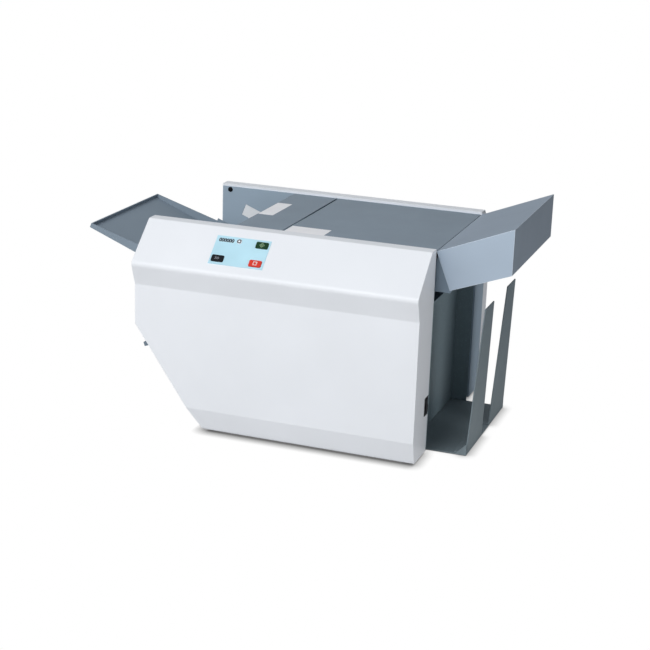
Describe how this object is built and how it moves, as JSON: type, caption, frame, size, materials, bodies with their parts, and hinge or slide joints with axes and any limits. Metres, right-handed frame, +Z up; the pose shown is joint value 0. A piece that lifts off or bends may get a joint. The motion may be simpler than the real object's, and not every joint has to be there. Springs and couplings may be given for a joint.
{
  "type": "pressure sealer",
  "caption": "Desktop folder and pressure sealer: sloped feed tray, gear-driven folding and sealing rollers between two sheet-metal covers, tilting exit hood and sliding delivery tray.",
  "frame": {"origin": "centre of the machine's outline, on the table", "axes": "+X along the paper path towards the delivery end, +Z up, the control panel faces -Y"},
  "size_m": [0.7002, 0.4318, 0.3685],
  "materials": {
    "white_paint": "fine powder coat, satin",
    "grey_paint": "fine powder coat, satin",
    "dark_paint": "satin",
    "steel": "ground",
    "gear_steel": "machined",
    "rubber": "matt",
    "black_plastic": "fine grain",
    "screw_black": "black oxide",
    "bronze": "sintered",
    "nylon": "moulded",
    "motor_paint": "satin",
    "panel_film": "satin film",
    "display_glass": "gloss",
    "board": "solder mask",
    "green_key": "satin",
    "red_key": "satin",
    "black_key": "satin",
    "white_key": "satin"
  },
  "bodies": {
    "chassis": {"front_cover": "white_paint", "rear_cover": "white_paint", "base_plate": "grey_paint", "front_frame": "grey_paint", "rear_frame": "grey_paint", "exit_plate": "grey_paint", "feed_tray": "grey_paint", "bay_liner": "dark_paint", "tie_bars": "steel", "separator_bar": "steel", "transfer_guide": "steel", "upper_fold_plate": "steel", "lower_fold_plate": "steel", "idler_studs": "steel", "hinge_pins": "steel", "rubber_feet": "rubber", "separator_pad": "rubber", "switch_housing": "black_plastic", "power_inlet": "black_plastic", "frame_screws": "screw_black", "shaft_bearings": "bronze", "drive_motor": "motor_paint", "control_panel": "panel_film", "counter_display": "display_glass", "control_board": "board"},
    "infeed_lid": {"infeed_cover": "grey_paint"},
    "main_lid": {"main_cover": "grey_paint"},
    "exit_hood": {"hood": "grey_paint"},
    "delivery_tray": {"stacker_base": "grey_paint", "stacker_fingers": "grey_paint"},
    "guide_front": {"front_guide": "grey_paint"},
    "guide_rear": {"rear_guide": "grey_paint"},
    "fold_stop_upper": {"upper_stop": "black_plastic"},
    "fold_stop_lower": {"lower_stop": "black_plastic"},
    "start_key": {"start_button": "green_key"},
    "stop_key": {"stop_button": "red_key"},
    "jog_key": {"jog_button": "black_key"},
    "reset_key": {"reset_button": "white_key"},
    "rocker": {"power_rocker": "black_plastic"},
    "seal_lower": {"seal_roller_lower": "steel", "seal_gear_lower": "gear_steel"},
    "seal_upper": {"seal_roller_upper": "steel", "seal_gear_upper": "gear_steel"},
    "idler_main": {"main_idler": "nylon"},
    "pinion": {"motor_pinion": "gear_steel"},
    "fold_four": {"fold_roller_4": "rubber", "fold_gear_4": "gear_steel"},
    "fold_three": {"fold_roller_3": "rubber", "fold_gear_3": "gear_steel"},
    "fold_two": {"fold_roller_2": "rubber", "fold_gear_2": "gear_steel"},
    "fold_one": {"fold_roller_1": "rubber", "fold_gear_1": "gear_steel"},
    "idler_feed": {"feed_idler": "nylon"},
    "feed": {"feed_roller": "rubber", "feed_gear": "gear_steel"},
    "idler_exit": {"exit_idler": "nylon"},
    "exit_lower": {"exit_roller_lower": "rubber", "exit_gear": "gear_steel"},
    "exit_upper": {"exit_roller_upper": "rubber"}
  },
  "joints": [
    {"name": "infeed_cover_hinge", "type": "hinge", "parent": "chassis", "child": "infeed_lid", "pos_m": [-0.03539, 0, 0.317], "axis": [0, 1, 0], "range_deg": [0, 80]},
    {"name": "main_cover_hinge", "type": "hinge", "parent": "chassis", "child": "main_lid", "pos_m": [0.21511, 0, 0.317], "axis": [0, 1, 0], "range_deg": [0, 80]},
    {"name": "hood_tilt", "type": "hinge", "parent": "chassis", "child": "exit_hood", "pos_m": [0.24491, 0, 0.3175], "axis": [0, -1, 0], "range_deg": [-18, 40]},
    {"name": "delivery_tray_slide", "type": "slide", "parent": "chassis", "child": "delivery_tray", "axis": [1, 0, 0], "range_m": [0, 0.05]},
    {"name": "front_guide_slide", "type": "slide", "parent": "chassis", "child": "guide_front", "axis": [0, 1, 0], "range_m": [0, 0.035]},
    {"name": "rear_guide_slide", "type": "slide", "parent": "chassis", "child": "guide_rear", "axis": [0, 1, 0], "range_m": [-0.035, 0]},
    {"name": "upper_stop_slide", "type": "slide", "parent": "chassis", "child": "fold_stop_upper", "axis": [0.9205, 0, 0.3907], "range_m": [-0.03, 0.03]},
    {"name": "lower_stop_slide", "type": "slide", "parent": "chassis", "child": "fold_stop_lower", "axis": [-0.9455, 0, -0.3256], "range_m": [-0.03, 0.03]},
    {"name": "start_press", "type": "slide", "parent": "chassis", "child": "start_key", "axis": [0, 0.6744, -0.7384], "range_m": [0, 0.0012], "stiffness_N_per_m": 600},
    {"name": "stop_press", "type": "slide", "parent": "chassis", "child": "stop_key", "axis": [0, 0.6744, -0.7384], "range_m": [0, 0.0012], "stiffness_N_per_m": 600},
    {"name": "jog_press", "type": "slide", "parent": "chassis", "child": "jog_key", "axis": [0, 0.6744, -0.7384], "range_m": [0, 0.0012], "stiffness_N_per_m": 600},
    {"name": "reset_press", "type": "slide", "parent": "chassis", "child": "reset_key", "axis": [0, 0.6744, -0.7384], "range_m": [0, 0.0012], "stiffness_N_per_m": 600},
    {"name": "power_rock", "type": "hinge", "parent": "chassis", "child": "rocker", "pos_m": [0.23041, -0.14205, 0.0805], "axis": [0, 1, 0], "range_deg": [0, 18]},
    {"name": "seal_lower_spin", "type": "hinge", "parent": "chassis", "child": "seal_lower", "pos_m": [0.08782, 0, 0.17109], "axis": [0, 1, 0], "continuous": true},
    {"name": "seal_upper_spin", "type": "hinge", "parent": "chassis", "child": "seal_upper", "pos_m": [0.07, 0, 0.21565], "axis": [0, 1, 0], "continuous": true},
    {"name": "idler_main_spin", "type": "hinge", "parent": "chassis", "child": "idler_main", "pos_m": [0.0393, 0, 0.14415], "axis": [0, 1, 0], "continuous": true},
    {"name": "pinion_spin", "type": "hinge", "parent": "chassis", "child": "pinion", "pos_m": [0.04711, 0, 0.09983], "axis": [0, 1, 0], "continuous": true},
    {"name": "fold_four_spin", "type": "hinge", "parent": "chassis", "child": "fold_four", "pos_m": [-0.00718, 0, 0.14278], "axis": [0, 1, 0], "continuous": true},
    {"name": "fold_three_spin", "type": "hinge", "parent": "chassis", "child": "fold_three", "pos_m": [-0.01832, 0, 0.17063], "axis": [0, 1, 0], "continuous": true},
    {"name": "fold_two_spin", "type": "hinge", "parent": "chassis", "child": "fold_two", "pos_m": [-0.02809, 0, 0.199], "axis": [0, 1, 0], "continuous": true},
    {"name": "fold_one_spin", "type": "hinge", "parent": "chassis", "child": "fold_one", "pos_m": [-0.02809, 0, 0.229], "axis": [0, 1, 0], "continuous": true},
    {"name": "idler_feed_spin", "type": "hinge", "parent": "chassis", "child": "idler_feed", "pos_m": [-0.07227, 0, 0.18024], "axis": [0, 1, 0], "continuous": true},
    {"name": "feed_spin", "type": "hinge", "parent": "chassis", "child": "feed", "pos_m": [-0.12319, 0, 0.18318], "axis": [0, 1, 0], "continuous": true},
    {"name": "idler_exit_spin", "type": "hinge", "parent": "chassis", "child": "idler_exit", "pos_m": [0.13344, 0, 0.21006], "axis": [0, 1, 0], "continuous": true},
    {"name": "exit_lower_spin", "type": "hinge", "parent": "chassis", "child": "exit_lower", "pos_m": [0.18192, 0, 0.22003], "axis": [0, 1, 0], "continuous": true},
    {"name": "exit_upper_spin", "type": "hinge", "parent": "chassis", "child": "exit_upper", "pos_m": [0.1719, 0, 0.2451], "axis": [0, 1, 0], "continuous": true}
  ],
  "couplings": [
    {"joint": "rear_guide_slide", "follows": "front_guide_slide", "ratio": -1},
    {"joint": "seal_upper_spin", "follows": "seal_lower_spin", "ratio": -1},
    {"joint": "idler_main_spin", "follows": "seal_lower_spin", "ratio": -0.7619},
    {"joint": "pinion_spin", "follows": "seal_lower_spin", "ratio": 1.7778},
    {"joint": "fold_four_spin", "follows": "seal_lower_spin", "ratio": 1.6},
    {"joint": "fold_three_spin", "follows": "seal_lower_spin", "ratio": -1.6},
    {"joint": "fold_two_spin", "follows": "seal_lower_spin", "ratio": 1.6},
    {"joint": "fold_one_spin", "follows": "seal_lower_spin", "ratio": -1.6},
    {"joint": "idler_feed_spin", "follows": "seal_lower_spin", "ratio": -0.72727},
    {"joint": "feed_spin", "follows": "seal_lower_spin", "ratio": 1.3333},
    {"joint": "idler_exit_spin", "follows": "seal_lower_spin", "ratio": -0.66667},
    {"joint": "exit_lower_spin", "follows": "seal_lower_spin", "ratio": 1.7778},
    {"joint": "exit_upper_spin", "follows": "seal_lower_spin", "ratio": -1.7778}
  ]
}
